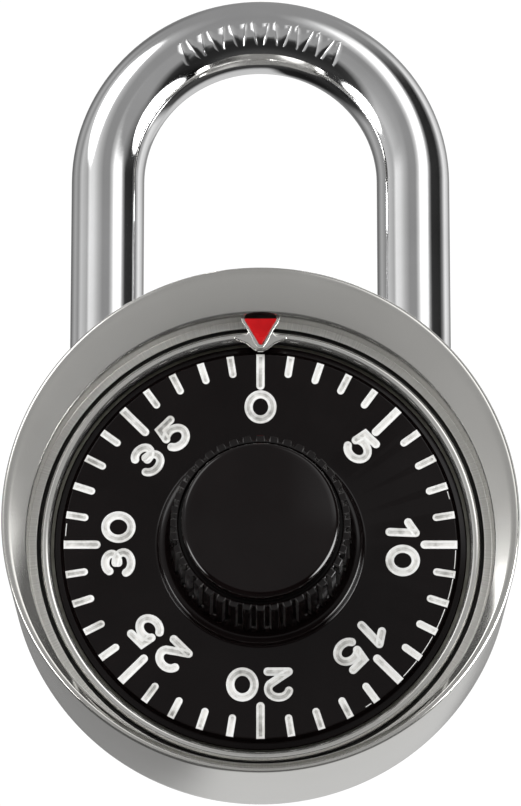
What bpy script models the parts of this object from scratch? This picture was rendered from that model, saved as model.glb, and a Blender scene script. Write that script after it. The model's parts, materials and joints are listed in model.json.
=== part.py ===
"""Combination padlock: a round cased lock with a numbered dial and a hardened shackle.

Frame: metres, +Z up towards the shackle, the front (dial) faces -Y.  The origin lies on the
dial's axis at the flat back face.  Every length below is in millimetres and is scaled once by MM.
Depths (the word Y in a name) are measured along +Y, so they are negative in front of the back.
"""
from math import asin, cos, degrees, hypot, pi, radians, sin

import bmesh
import bpy

MM = 0.001

# ---- driving dimensions -------------------------------------------------------------------
GAP = 0.3                 # clearance kept between neighbouring solids
CASE_R = 24.0             # round body: 48 mm across
CASE_Z = 2.1              # the dial's axis lies this far below the body's centre
SKIN = 1.0                # sheet thickness of the drawn shell
RIM_Y = -20.5             # front rim of the body
RIM_ROUND = 0.8           # rounding of that rim
BACK_CORNER = 2.8         # rounding of the rear edge
BAND_R, BAND_Y = 21.5, -19.1      # inner edge of the sloping front band
RING_Y = -17.8            # flat ring between the band and the lip
CREVICE_R, CREVICE_Y = 20.25, -17.55      # narrow crevice around the lip
CREVICE_WIDTH = 0.2
LIP_R = 19.5              # opening that the dial turns in
LIP_Y = -18.3             # crest of the lip around the dial
LIP_EASE = 0.2            # its eased edges
UNDER_Y = -16.7           # underside of the front ring
HOLLOW_Y = -19.3          # how far the shell is hollow behind the band
ROLL = 0.9                # thickness of the rolled rear edge
MOUTH_R = 19.6            # opening inside that edge
COVER_R = 19.2            # raised face of the rear cover
COVER_FLANGE_R = 21.2     # flange that the rolled edge holds

POCKET_X = (-1.9, 1.9)    # pocket in the band that shows the pointer
POCKET_Y = (-21.0, -18.7)
POCKET_Z = (20.7, 22.4)
TONGUE_Y = (-18.75, -18.15)       # tongue of the shell that carries the pointer
TONGUE_HALF, TONGUE_TIP_HALF = 2.4, 0.6
TONGUE_Z = (18.35, 20.1, 20.6)
MARK_HALF = 1.5           # red pointer
MARK_Y = (-19.55, -19.05)
MARK_Z = (18.8, 21.3)

DIAL_R = 19.2             # dial flange
DIAL_FACE_R = 18.5        # edge of the raised, marked face
DIAL_Y = -17.8            # marked face
DIAL_EDGE_Y = -17.1       # where the flange's slope meets its edge
DIAL_BACK_Y = -16.6
KNOB_BASE_R, KNOB_BASE_Y = 9.5, -18.9     # ring at the knob's foot
BARREL_R = 7.95           # knob under the grip's ribs
GRIP_Y = (-26.5, -18.2)   # ribbed length
KNOB_R = 8.4              # over the grip's ribs
KNOB_RIBS = 40
RIB_DEPTH = 0.45
RIB_STEPS = ((0.0, 0), (0.55, 0), (0.70, 1), (0.85, 1))   # (share of a pitch, of the depth)
KNOB_TOP_Y = -26.9
KNOB_HOLLOW_R, KNOB_HOLLOW_Y = 6.5, -24.6     # hollow behind the knob
HUB_R, HUB_END_Y = 4.0, -19.0     # hub round the spindle in that hollow
WELL_R, WELL_Y = 3.7, -25.0       # well for the spindle's head
CAP_SEAT_Y = -26.2
CAP_R = 7.2
CAP_BASE_Y = -26.5
CAP_EDGE_Y = -28.3
CAP_DOME = ((5.6, -28.6), (3.0, -28.8))       # (radius, depth) of points on the dome
CAP_TOP_Y = -28.9

ROD_R = 3.5               # shackle rod
LEG_X = 14.7              # shackle legs left and right of the axis
LEG_Y = -9.5
CROWN_Z = 52.3            # rod centre at the top of the bow
LEG_MID_Z = 22.0          # a point on the straight legs
TOE_END_Z = 6.5
HEEL_END_Z = -9.0
RING_Z = -7.25            # retaining ring on the heel leg
LEG_HOLE_R = ROD_R + GAP
LEG_HOLE_Z = (8.0, 30.0)
GUIDE_X = (10.2, 19.6)    # blocks around the legs inside the case
GUIDE_Y = (-14.2, -5.3)
TOE_GUIDE_Z = (13.8, 17.6)
HEEL_GUIDE_Z = (10.4, 17.6)

CUP_R = 22.7              # inner steel case
CUP_FRONT_Y = -16.1
CUP_REAR_Y = -2.5
PLATE_FRONT_Y, PLATE_REAR_Y = -3.6, -2.6
PLATE_R = 21.3

WHEEL_R = 8.4
WHEEL_BORE_R = 2.8
POST_R = 2.5
POST_FOOT_R = 1.7         # end of the post that is set in the plate
SHOULDER_R = 4.2          # shoulder of the post, and the spacer on it
SPINDLE_R = 2.0
SPINDLE_GROOVE_R = 1.5
SPINDLE_GROOVE_Y = (-13.35, -12.95)
BUSHING_R = 3.1
PIN_PROUD = 0.1           # how far pins stand out of the plate that holds them
CAM_Y = (-14.8, -13.6)
WHEEL_2_Y = (-11.5, -10.2)
WHEEL_1_Y = (-8.6, -7.3)
GATE_WIDTH, GATE_DEPTH = 2.6, 1.9
CAM_GATE, WHEEL_2_GATE, WHEEL_1_GATE = 305.0, 50.0, 235.0     # degrees, as scrambled
LUG_R = 0.7
LUG_CIRCLE_R = 6.2        # pick-up lugs stand this far from the axis
LUG_ROOT = 0.2            # depth of a lug's root in its wheel
CAM_REACH, WHEEL_REACH = 1.4, 1.0     # length of the lugs between cam and wheel, and wheels

LEVER_PIVOT = (-13.5, -11.0)
LEVER_PIN_R = 1.2
LEVER_ELBOW = (-10.3, 0.0)
LEVER_WIDTH = 4.2
LEVER_Y = (-5.0, -3.9)
FENCE_X = (-10.7, -9.1)
FENCE_HALF_HEIGHT = 1.2
FENCE_FRONT_Y = -14.6
LATCH_PIVOT = (-7.4, 16.4)
LATCH_PIN_R = 1.0
LATCH_BOSS_R = 2.1
LATCH_Y = (-12.0, -7.0)
NOSE_X = -12.3
NOSE_Z = (11.2, 12.6)
PILLARS = ((0.0, 19.8), (9.5, -13.8), (-6.0, -16.0))
PILLAR_R, PILLAR_NECK_R = 1.5, 1.0

ROUND = 60                # facets of a full turn on the shell and the dial
INNER_ROUND = 48          # on the large rounds inside
CAP_ROUND = 36
BORE_ROUND = 24           # on the legs' holes and groove
SMALL_ROUND = 20          # and on small rounds
LUG_ROUND = 12


# ---- scene and materials ------------------------------------------------------------------
def clear_scene():
    for obj in list(bpy.data.objects):
        bpy.data.objects.remove(obj, do_unlink=True)


def new_collection(name):
    collection = bpy.data.collections.new(name)
    bpy.context.scene.collection.children.link(collection)
    return collection


def material(name, colour, metallic, roughness):
    mat = bpy.data.materials.new(name)
    mat.use_nodes = True
    shader = mat.node_tree.nodes["Principled BSDF"]
    shader.inputs["Base Color"].default_value = (*colour, 1.0)
    shader.inputs["Metallic"].default_value = metallic
    shader.inputs["Roughness"].default_value = roughness
    return mat


clear_scene()
PARTS = new_collection("combination_padlock")
CUTTERS = new_collection("combination_padlock_cutters")

STAINLESS = ((0.58, 0.57, 0.54), 1.0, 0.28)
CHROME = ((0.80, 0.80, 0.80), 1.0, 0.08)
BLACK_GLOSS = ((0.010, 0.009, 0.009), 0.0, 0.18)
RED_ENAMEL = ((0.55, 0.008, 0.012), 0.0, 0.25)
BRASS = ((0.72, 0.52, 0.22), 1.0, 0.30)
PLATED_STEEL = ((0.52, 0.51, 0.46), 1.0, 0.38)
BRIGHT_STEEL = ((0.62, 0.62, 0.62), 1.0, 0.25)
SPRING_STEEL = ((0.30, 0.30, 0.31), 1.0, 0.30)


# ---- helpers ------------------------------------------------------------------------------
def add_object(name, data, finish=None):
    """Links an object for mesh or curve data: a part if it has a finish, else a cutter."""
    obj = bpy.data.objects.new(name, data)
    if finish:
        PARTS.objects.link(obj)
        data.materials.append(material(name + "_finish", *finish))
    else:
        CUTTERS.objects.link(obj)
        obj.hide_render = True
        obj.display_type = "WIRE"
    return obj


def smooth(obj, angle=35.0):
    obj.data.shade_smooth()
    obj.data.set_sharp_from_angle(angle=radians(angle))


def turned(name, profile, finish=None, centre=(0.0, 0.0), facets=ROUND, along="Y"):
    """A solid turned about an axis along Y (or Z), from closed profile points (radius, place).

    A profile that starts and ends on the axis makes a full body, any other a ring.
    centre is (x, z) for an axis along Y and (x, y) for one along Z.
    """
    area = sum(a[0] * b[1] - b[0] * a[1] for a, b in zip(profile, profile[1:] + profile[:1]))
    points = list(profile) if area < 0 else list(reversed(profile))
    on_axis = [i for i, point in enumerate(points) if point[0] == 0]
    if on_axis:
        start = next(i for i in on_axis if points[i - 1][0] == 0)
        points = points[start:] + points[:start]
    edges = [(i, i + 1) for i in range(len(points) - 1)]
    if not on_axis:
        edges.append((len(points) - 1, 0))
    mesh = bpy.data.meshes.new(name)
    mesh.from_pydata([(r * MM, 0.0, place * MM) for r, place in points], edges, [])
    obj = add_object(name, mesh, finish)
    screw = obj.modifiers.new("turn", "SCREW")
    screw.steps = screw.render_steps = facets
    screw.use_merge_vertices = True
    screw.merge_threshold = 0.000001
    screw.use_smooth_shade = True
    if along == "Y":
        obj.rotation_euler.x = radians(-90)
        obj.location = (centre[0] * MM, 0.0, centre[1] * MM)
    else:
        obj.location = (centre[0] * MM, centre[1] * MM, 0.0)
    return obj


def disc(name, radius, places, finish=None, centre=(0.0, 0.0), facets=SMALL_ROUND, along="Y"):
    low, high = places
    return turned(name, [(0, high), (radius, high), (radius, low), (0, low)],
                  finish, centre, facets, along)


def ring(name, inner, outer, places, finish=None, centre=(0.0, 0.0), facets=SMALL_ROUND,
         along="Y"):
    low, high = places
    return turned(name, [(inner, high), (outer, high), (outer, low), (inner, low)],
                  finish, centre, facets, along)


def box(name, xs, ys, zs, finish=None):
    """A box from its limits, as a scaled unit cube whose origin is its middle."""
    mesh = bpy.data.meshes.new(name)
    work = bmesh.new()
    bmesh.ops.create_cube(work, size=1.0)
    size = [(high - low) * MM for low, high in (xs, ys, zs)]
    bmesh.ops.scale(work, vec=size, verts=work.verts)
    work.to_mesh(mesh)
    work.free()
    obj = add_object(name, mesh, finish)
    obj.location = [(low + high) / 2 * MM for low, high in (xs, ys, zs)]
    return obj


def as_mesh(curve_obj, finish=None):
    """Swaps a curve object for a welded mesh object of the same name and place."""
    bpy.context.view_layer.update()
    depsgraph = bpy.context.evaluated_depsgraph_get()
    mesh = bpy.data.meshes.new_from_object(curve_obj.evaluated_get(depsgraph))
    work = bmesh.new()
    work.from_mesh(mesh)
    bmesh.ops.remove_doubles(work, verts=work.verts, dist=0.000002)
    work.to_mesh(mesh)
    work.free()
    name, matrix = curve_obj.name, curve_obj.matrix_world.copy()
    bpy.data.objects.remove(curve_obj, do_unlink=True)
    mesh.materials.clear()
    obj = add_object(name, mesh, finish)
    obj.matrix_world = matrix
    return obj


def plate(name, outlines, places, finish=None):
    """A flat piece in the XZ plane: the first outline is its edge, the others its holes."""
    curve = bpy.data.curves.new(name, "CURVE")
    curve.dimensions = "2D"
    curve.fill_mode = "BOTH"
    curve.extrude = (places[1] - places[0]) / 2 * MM
    for outline in outlines:
        spline = curve.splines.new("POLY")
        spline.points.add(len(outline) - 1)
        spline.use_cyclic_u = True
        for point, (x, z) in zip(spline.points, outline):
            point.co = (x * MM, z * MM, 0.0, 1.0)
    obj = bpy.data.objects.new(name, curve)
    CUTTERS.objects.link(obj)
    obj.rotation_euler.x = radians(90)
    obj.location.y = sum(places) / 2 * MM
    return as_mesh(obj, finish)


def wire(name, path, radius, finish, roundness=2):
    """A wire or rod along path points (x, y, z), with filled ends."""
    curve = bpy.data.curves.new(name, "CURVE")
    curve.dimensions = "3D"
    curve.bevel_depth = radius * MM
    curve.bevel_resolution = roundness
    curve.use_fill_caps = True
    spline = curve.splines.new("POLY")
    spline.points.add(len(path) - 1)
    for point, place in zip(spline.points, path):
        point.co = (*(value * MM for value in place), 1.0)
    obj = bpy.data.objects.new(name, curve)
    CUTTERS.objects.link(obj)
    obj = as_mesh(obj, finish)
    smooth(obj)
    return obj


def boolean(obj, tool, operation="DIFFERENCE"):
    modifier = obj.modifiers.new(operation.lower() + "_" + tool.name, "BOOLEAN")
    modifier.operation = operation
    modifier.object = tool
    modifier.solver = "EXACT"
    return obj


def arc(centre, radius, start, end, steps):
    """Points of an arc in a plane, from start to end in degrees, anticlockwise if end > start."""
    angles = [radians(start + (end - start) * i / steps) for i in range(steps + 1)]
    return [(centre[0] + radius * cos(a), centre[1] + radius * sin(a)) for a in angles]


def circle(centre, radius, facets=SMALL_ROUND):
    return arc(centre, radius, 0.0, 360.0, facets)[:-1]


def strap(points, width, facets=12):
    """Outline of a flat bar with round ends that follows a path of two or more points."""
    half = width / 2
    headings = [(b[0] - a[0], b[1] - a[1]) for a, b in zip(points, points[1:])]
    normals = [(-dz / hypot(dx, dz), dx / hypot(dx, dz)) for dx, dz in headings]
    left, right = [], []
    for i in range(1, len(points) - 1):
        nx = (normals[i - 1][0] + normals[i][0]) / 2
        nz = (normals[i - 1][1] + normals[i][1]) / 2
        scale = half / (nx * nx + nz * nz)
        left.append((points[i][0] + nx * scale, points[i][1] + nz * scale))
        right.append((points[i][0] - nx * scale, points[i][1] - nz * scale))
    turns = []
    for point, (nx, nz), sign in ((points[0], normals[0], 1), (points[-1], normals[-1], -1)):
        ends = []
        for i in range(facets + 1):
            a = pi * i / facets
            ends.append((point[0] + sign * half * (nx * cos(a) - nz * sin(a)),
                         point[1] + sign * half * (nz * cos(a) + nx * sin(a))))
        turns.append(ends)
    return turns[0] + right + turns[1] + left[::-1]


def lofted_rings(name, sections, finish=None, facets=ROUND):
    """A closed skin through circles (centre_z, radius, y) whose centres drift along Z."""
    work = bmesh.new()
    loops = []
    for centre_z, radius, y in sections:
        points = [(radius * sin(2 * pi * i / facets), y,
                   centre_z + radius * cos(2 * pi * i / facets)) for i in range(facets)]
        loops.append([work.verts.new([value * MM for value in p]) for p in points])
    for a, b in zip(loops, loops[1:] + loops[:1]):
        for i in range(facets):
            j = (i + 1) % facets
            work.faces.new((a[i], a[j], b[j], b[i]))
    bmesh.ops.recalc_face_normals(work, faces=work.faces)
    mesh = bpy.data.meshes.new(name)
    work.to_mesh(mesh)
    work.free()
    obj = add_object(name, mesh, finish)
    smooth(obj)
    return obj


# ---- case ---------------------------------------------------------------------------------
def leg_hole(owner, side):
    return disc(f"{owner}_leg_hole_{side:+d}", LEG_HOLE_R, LEG_HOLE_Z, None,
                (side * LEG_X, LEG_Y), BORE_ROUND, "Z")


def case_shell():
    """Drawn shell: side wall, rolled rear edge and the eccentric, stepped front ring."""
    inner_r = CASE_R - SKIN
    corner_r = CASE_R - BACK_CORNER
    outside = [(CASE_Z, corner_r + BACK_CORNER * sin(radians(a)),
                -BACK_CORNER + BACK_CORNER * cos(radians(a))) for a in (0, 30, 60, 90)]
    rim = [(CASE_Z, CASE_R - RIM_ROUND + RIM_ROUND * cos(radians(a)),
            RIM_Y + RIM_ROUND - RIM_ROUND * sin(radians(a))) for a in (0, 35, 70, 90)]
    draft = 0.05
    crevice_outer_r = CREVICE_R + CREVICE_WIDTH
    lip_outer_r = CREVICE_R - draft
    front = [(0, BAND_R, BAND_Y), (0, BAND_R - 2 * draft, RING_Y),
             (0, crevice_outer_r + draft, RING_Y - 3 * draft), (0, crevice_outer_r, CREVICE_Y),
             (0, CREVICE_R, CREVICE_Y), (0, lip_outer_r, LIP_Y + LIP_EASE),
             (0, lip_outer_r - LIP_EASE, LIP_Y), (0, LIP_R + LIP_EASE, LIP_Y),
             (0, LIP_R, LIP_Y + LIP_EASE), (0, LIP_R, UNDER_Y)]
    ring_back = (0.2, 20.6)       # centre and radius of the flat back of the ring
    hollow = (1.45, 22.3)         # and of the hollow behind the band
    inside = [(*ring_back, UNDER_Y), (*hollow, UNDER_Y - 0.2), (*hollow, HOLLOW_Y),
              (CASE_Z, inner_r, HOLLOW_Y), (CASE_Z, inner_r, -BACK_CORNER - 0.1),
              (CASE_Z, inner_r - 0.7, -ROLL - 0.7), (CASE_Z, corner_r - 0.2, -ROLL),
              (CASE_Z, MOUTH_R, -ROLL), (CASE_Z, MOUTH_R, 0.0)]
    shell = lofted_rings("case_shell", outside + rim + front + inside, STAINLESS)
    for side in (-1, 1):
        boolean(shell, leg_hole("shell", side))
    boolean(shell, box("index_pocket", POCKET_X, POCKET_Y, POCKET_Z))
    tip_z, shoulder_z, root_z = TONGUE_Z
    tongue = [(-TONGUE_HALF, root_z), (-TONGUE_HALF, shoulder_z), (-TONGUE_TIP_HALF, tip_z),
              (TONGUE_TIP_HALF, tip_z), (TONGUE_HALF, shoulder_z), (TONGUE_HALF, root_z)]
    boolean(shell, plate("index_tongue", [tongue], TONGUE_Y), "UNION")
    return shell


def index_mark():
    """Red pointer that sits on the shell's tongue above the dial."""
    tip_z, top_z = MARK_Z
    outline = [(-MARK_HALF, top_z), (0.0, tip_z), (MARK_HALF, top_z)]
    return plate("index_mark", [outline], MARK_Y, RED_ENAMEL)


def back_cover():
    """Pressed rear cover, flush with the shell's rolled edge and held by it."""
    flange_y = -ROLL - GAP
    profile = [(0, 0), (COVER_R, 0), (COVER_R, flange_y), (COVER_FLANGE_R, flange_y),
               (COVER_FLANGE_R, flange_y - SKIN), (COVER_R - SKIN, flange_y - SKIN),
               (COVER_R - SKIN, -SKIN), (0, -SKIN)]
    return turned("back_cover", profile, STAINLESS, (0.0, CASE_Z), INNER_ROUND)


def inner_case():
    """Hardened steel cup inside the shell, open at the back."""
    inner_r = CUP_R - SKIN
    wall_y = CUP_FRONT_Y + SKIN
    profile = [(0, CUP_FRONT_Y), (CUP_R, CUP_FRONT_Y), (CUP_R, CUP_REAR_Y),
               (inner_r, CUP_REAR_Y), (inner_r, wall_y), (0, wall_y)]
    cup = turned("inner_case", profile, PLATED_STEEL, (0.0, CASE_Z), INNER_ROUND)
    boolean(cup, disc("cup_bore", BUSHING_R + GAP, (CUP_FRONT_Y - 1, wall_y + 1)))
    for side in (-1, 1):
        boolean(cup, leg_hole("cup", side))
    return cup


def mechanism_plate():
    """Rear plate that carries the wheel post, the lever's pin and the pillars."""
    holes = [circle((0, 0), POST_FOOT_R + GAP), circle(LEVER_PIVOT, LEVER_PIN_R + GAP)]
    holes += [circle(place, PILLAR_NECK_R + GAP) for place in PILLARS]
    return plate("mechanism_plate", [circle((0, CASE_Z), PLATE_R, INNER_ROUND)] + holes,
                 (PLATE_FRONT_Y, PLATE_REAR_Y), PLATED_STEEL)


def plate_pillars():
    """Shouldered pillars that hold the rear plate off the cup's front wall."""
    wall_y = CUP_FRONT_Y + SKIN + GAP
    shoulder_y = PLATE_FRONT_Y - GAP
    end_y = PLATE_REAR_Y + PIN_PROUD
    profile = [(0, wall_y), (PILLAR_R, wall_y), (PILLAR_R, shoulder_y),
               (PILLAR_NECK_R, shoulder_y), (PILLAR_NECK_R, end_y), (0, end_y)]
    for number, place in enumerate(PILLARS, 1):
        turned(f"plate_pillar_{number}", profile, BRIGHT_STEEL, place, SMALL_ROUND)


def shackle_guide(name, side, heights):
    """Block around one shackle leg, shaped to the round case."""
    xs = sorted(side * x for x in GUIDE_X)
    guide = box(name, xs, GUIDE_Y, heights, PLATED_STEEL)
    bowl = disc(name + "_wall", CUP_R - SKIN - GAP, (GUIDE_Y[0] - 1, GUIDE_Y[1] + 1), None,
                (0.0, CASE_Z), ROUND)
    boolean(guide, bowl, "INTERSECT")
    boolean(guide, leg_hole(name, side))
    return guide


# ---- dial, spindle and wheels -------------------------------------------------------------
def grip_outline(radius, depth):
    """Ribbed outline of the knob: flat-topped ribs with narrow grooves between them."""
    points = []
    pitch = 2 * pi / KNOB_RIBS
    for i in range(KNOB_RIBS):
        for share, sunk in RIB_STEPS:
            a = (i + share) * pitch
            r = radius - sunk * depth
            points.append((r * cos(a), r * sin(a)))
    return points


def dial():
    """Moulded dial: marked flange, base ring and hollow ribbed knob, with a bore for the spindle."""
    bore = SPINDLE_R + GAP
    seat_r = CAP_R + GAP
    ease = 0.1
    base_round = 0.4
    draft = 0.05
    profile = [(DIAL_R, DIAL_BACK_Y), (DIAL_R, DIAL_EDGE_Y), (DIAL_FACE_R + ease, DIAL_Y + ease),
               (DIAL_FACE_R, DIAL_Y), (KNOB_BASE_R, DIAL_Y), (KNOB_BASE_R, KNOB_BASE_Y + base_round),
               (KNOB_BASE_R - base_round, KNOB_BASE_Y), (BARREL_R, KNOB_BASE_Y),
               (BARREL_R - draft, KNOB_TOP_Y + ease), (BARREL_R - draft - ease, KNOB_TOP_Y),
               (seat_r, KNOB_TOP_Y), (seat_r, CAP_SEAT_Y), (WELL_R, CAP_SEAT_Y), (WELL_R, WELL_Y),
               (bore, WELL_Y), (bore, HUB_END_Y), (HUB_R, HUB_END_Y), (HUB_R, KNOB_HOLLOW_Y),
               (KNOB_HOLLOW_R, KNOB_HOLLOW_Y), (KNOB_HOLLOW_R, DIAL_BACK_Y)]
    body = turned("dial", profile, BLACK_GLOSS, facets=ROUND)
    wall_r = (KNOB_HOLLOW_R + seat_r) / 2
    grip = plate("knob_grip", [grip_outline(KNOB_R, RIB_DEPTH),
                               circle((0, 0), wall_r, INNER_ROUND)], GRIP_Y)
    return boolean(body, grip, "UNION")


def knob_cap():
    """Domed cap pressed into the knob's open end."""
    edge_round = 0.5
    edge = [(CAP_R - edge_round + edge_round * cos(radians(a)),
             CAP_EDGE_Y + 0.3 - edge_round * sin(radians(a))) for a in (0, 45)]
    profile = [(0, CAP_BASE_Y), (CAP_R, CAP_BASE_Y), *edge, *CAP_DOME, (0, CAP_TOP_Y)]
    return turned("knob_cap", profile, BLACK_GLOSS, facets=CAP_ROUND)


def dial_spindle():
    """Steel spindle from the knob's head through the bushing to the drive cam."""
    head_r, head_y, shoulder_y = WELL_R - GAP, -25.9, WELL_Y - GAP
    groove_start, groove_end = SPINDLE_GROOVE_Y
    end_y = -12.8
    profile = [(0, head_y), (head_r, head_y), (head_r, shoulder_y), (SPINDLE_R, shoulder_y),
               (SPINDLE_R, groove_start), (SPINDLE_GROOVE_R, groove_start),
               (SPINDLE_GROOVE_R, groove_end), (SPINDLE_R, groove_end), (SPINDLE_R, end_y),
               (0, end_y)]
    return turned("dial_spindle", profile, BRIGHT_STEEL, facets=SMALL_ROUND)


def spindle_bushing():
    """Flanged brass bushing in the cup's front wall."""
    bore = SPINDLE_R + GAP
    flange_r, front_y = 4.6, -17.2
    seat_y = CUP_FRONT_Y - GAP
    rear_y = CUP_FRONT_Y + SKIN
    profile = [(bore, front_y), (flange_r, front_y), (flange_r, seat_y), (BUSHING_R, seat_y),
               (BUSHING_R, rear_y), (bore, rear_y)]
    return turned("spindle_bushing", profile, BRASS, facets=SMALL_ROUND)


def dial_spring():
    """Conical spring washer that keeps the dial from rattling."""
    inner_r, outer_r = 2.5, 4.3
    inner_y, outer_y = -18.6, -17.8
    thickness = 0.3
    profile = [(inner_r, inner_y), (outer_r, outer_y), (outer_r, outer_y + thickness),
               (inner_r, inner_y + thickness)]
    return turned("dial_spring", profile, SPRING_STEEL, facets=SMALL_ROUND)


def spring_clip(name, inner, outer, places, centre=(0.0, 0.0), along="Y", mouth=60.0):
    """Open retaining ring: a ring with a mouth cut out of it."""
    clip = ring(name, inner, outer, places, SPRING_STEEL, centre, SMALL_ROUND, along)
    low, high = places[0] - 1, places[1] + 1
    reach = (outer + 1) * sin(radians(mouth / 2))
    if along == "Y":
        slot = box(name + "_mouth", (centre[0] - reach, centre[0] + reach), (low, high),
                   (centre[1] - outer - 1, centre[1]))
    else:
        slot = box(name + "_mouth", (centre[0] - outer - 1, centre[0]),
                   (centre[1] - reach, centre[1] + reach), (low, high))
    return boolean(clip, slot)


def spindle_retaining_ring():
    """Clip in the spindle's groove behind the bushing."""
    low, high = SPINDLE_GROOVE_Y
    side_play = 0.05
    return spring_clip("spindle_retaining_ring", SPINDLE_GROOVE_R + 0.2, 3.0,
                       (low + side_play, high - side_play))


def gated_outline(radius, gate_angle):
    """Circle with one square gate cut in its rim, centred at gate_angle degrees."""
    half = GATE_WIDTH / 2
    edge = degrees(asin(half / radius))
    points = arc((0, 0), radius, edge, 360 - edge, INNER_ROUND)
    points += [(radius - GATE_DEPTH, -half), (radius - GATE_DEPTH, half)]
    a = radians(gate_angle)
    return [(x * cos(a) - z * sin(a), x * sin(a) + z * cos(a)) for x, z in points]


def wheel(name, places, gate_angle, bore_r, lugs, finish):
    """A gated wheel; lugs lists (angle, first y, last y) of its pick-up lugs."""
    body = plate(name, [gated_outline(WHEEL_R, gate_angle), circle((0, 0), bore_r)], places,
                 finish)
    for number, (angle, first_y, last_y) in enumerate(lugs):
        a = radians(angle)
        lug = disc(f"{name}_lug_{number}", LUG_R, (first_y, last_y), None,
                   (LUG_CIRCLE_R * cos(a), LUG_CIRCLE_R * sin(a)), LUG_ROUND)
        boolean(body, lug, "UNION")
    return body


def wheel_pack():
    """Drive cam on the spindle and two loose wheels on the post, picked up by their lugs."""
    lug_step = degrees(2 * asin((LUG_R + GAP / 2) / LUG_CIRCLE_R))
    cam_lug = 120.0
    far_lug = cam_lug + 180
    wheel("drive_cam", CAM_Y, CAM_GATE, SPINDLE_R + GAP,
          [(cam_lug, CAM_Y[1] - LUG_ROOT, CAM_Y[1] + CAM_REACH)], BRASS)
    wheel("wheel_2", WHEEL_2_Y, WHEEL_2_GATE, WHEEL_BORE_R,
          [(cam_lug + lug_step, WHEEL_2_Y[0] - CAM_REACH, WHEEL_2_Y[0] + LUG_ROOT),
           (far_lug, WHEEL_2_Y[1] - LUG_ROOT, WHEEL_2_Y[1] + WHEEL_REACH)], BRASS)
    wheel("wheel_1", WHEEL_1_Y, WHEEL_1_GATE, WHEEL_BORE_R,
          [(far_lug + lug_step, WHEEL_1_Y[0] - WHEEL_REACH, WHEEL_1_Y[0] + LUG_ROOT)], BRASS)
    ring("wheel_spacer", WHEEL_BORE_R, SHOULDER_R, (WHEEL_2_Y[1] + GAP, WHEEL_1_Y[0] - GAP),
         BRIGHT_STEEL)


def wheel_post():
    """Shouldered post for the two wheels, with the clip and the spring that hold them on it."""
    tip_y, shoulder_y = -12.5, -6.1
    groove_r, groove_start, groove_end = 1.9, -12.3, -11.8
    seat_y = PLATE_FRONT_Y - GAP
    end_y = PLATE_REAR_Y + PIN_PROUD
    profile = [(0, tip_y), (POST_R, tip_y), (POST_R, groove_start), (groove_r, groove_start),
               (groove_r, groove_end), (POST_R, groove_end), (POST_R, shoulder_y),
               (SHOULDER_R, shoulder_y), (SHOULDER_R, seat_y), (POST_FOOT_R, seat_y),
               (POST_FOOT_R, end_y), (0, end_y)]
    turned("wheel_post", profile, BRIGHT_STEEL, facets=SMALL_ROUND)
    clip_outer_r, clip_places = 3.7, (-12.15, -11.85)
    spring_clip("wheel_clip", groove_r + 0.2, clip_outer_r, clip_places)
    spring_r, rise = 4.6, 0.3
    front_y = WHEEL_1_Y[1] + GAP
    spring = [(WHEEL_BORE_R, front_y), (spring_r, front_y + rise),
              (spring_r, front_y + 2 * rise), (WHEEL_BORE_R, front_y + rise)]
    turned("wheel_spring", spring, SPRING_STEEL, facets=SMALL_ROUND)


# ---- shackle, latch and lever -------------------------------------------------------------
def shackle():
    """Bent rod with a notch and a tapered toe on the left leg and a ring groove on the right."""
    bow_z = CROWN_Z - LEG_X
    bow_steps, rod_roundness = 28, 5
    bow = [(x, LEG_Y, z) for x, z in arc((0, bow_z), LEG_X, 180, 0, bow_steps)]
    path = [(-LEG_X, LEG_Y, TOE_END_Z), (-LEG_X, LEG_Y, LEG_MID_Z)] + bow
    path += [(LEG_X, LEG_Y, LEG_MID_Z), (LEG_X, LEG_Y, HEEL_END_Z)]
    rod = wire("shackle", path, ROD_R, CHROME, rod_roundness)
    boolean(rod, toe_notch())
    groove_r, groove_half = 2.6, 0.55
    boolean(rod, ring("heel_groove", groove_r, ROD_R + 1.5,
                      (RING_Z - groove_half, RING_Z + groove_half), None,
                      (LEG_X, LEG_Y), BORE_ROUND, "Z"))
    return rod


def toe_notch():
    """Cutter for the toe: a square notch for the latch, and a flat tapered lead below it."""
    floor_x = NOSE_X - 0.35
    lead_x = floor_x + 0.4
    slope_x, open_x = -11.0, -9.0
    below_z = TOE_END_Z - 0.5
    ledge_z = NOSE_Z[0] - GAP
    wall_z, roof_z = NOSE_Z[1] + 0.5, NOSE_Z[1] + 1.2
    outline = [(floor_x, ledge_z), (lead_x, below_z), (open_x, below_z), (open_x, roof_z),
               (slope_x, roof_z), (floor_x, wall_z)]
    rod_depths = (LEG_Y - ROD_R - 1, LEG_Y + ROD_R + 1)
    return plate("toe_notch", [outline], rod_depths)


def heel_retaining_ring():
    """Clip in the heel leg's groove: it meets the heel guide when the shackle is up."""
    inner_r, outer_r, half, mouth = 2.9, 4.4, 0.25, 50.0
    return spring_clip("heel_retaining_ring", inner_r, outer_r, (RING_Z - half, RING_Z + half),
                       (LEG_X, LEG_Y), "Z", mouth)


def locking_lever():
    """Lever behind the wheels, with the fence bar across their rims."""
    body = plate("locking_lever",
                 [strap([LEVER_PIVOT, LEVER_ELBOW, LATCH_PIVOT], LEVER_WIDTH),
                  circle(LEVER_PIVOT, LEVER_PIN_R + GAP), circle(LATCH_PIVOT, LATCH_PIN_R + GAP)],
                 LEVER_Y, PLATED_STEEL)
    fence = box("fence_bar", FENCE_X, (FENCE_FRONT_Y, LEVER_Y[1]),
                (-FENCE_HALF_HEIGHT, FENCE_HALF_HEIGHT))
    return boolean(body, fence, "UNION")


def lever_pivot_pin():
    tip_y = -7.6
    end_y = PLATE_REAR_Y + PIN_PROUD
    profile = [(0, tip_y), (LEVER_PIN_R, tip_y), (LEVER_PIN_R, end_y), (0, end_y)]
    return turned("lever_pivot_pin", profile, BRIGHT_STEEL, LEVER_PIVOT, SMALL_ROUND)


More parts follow.
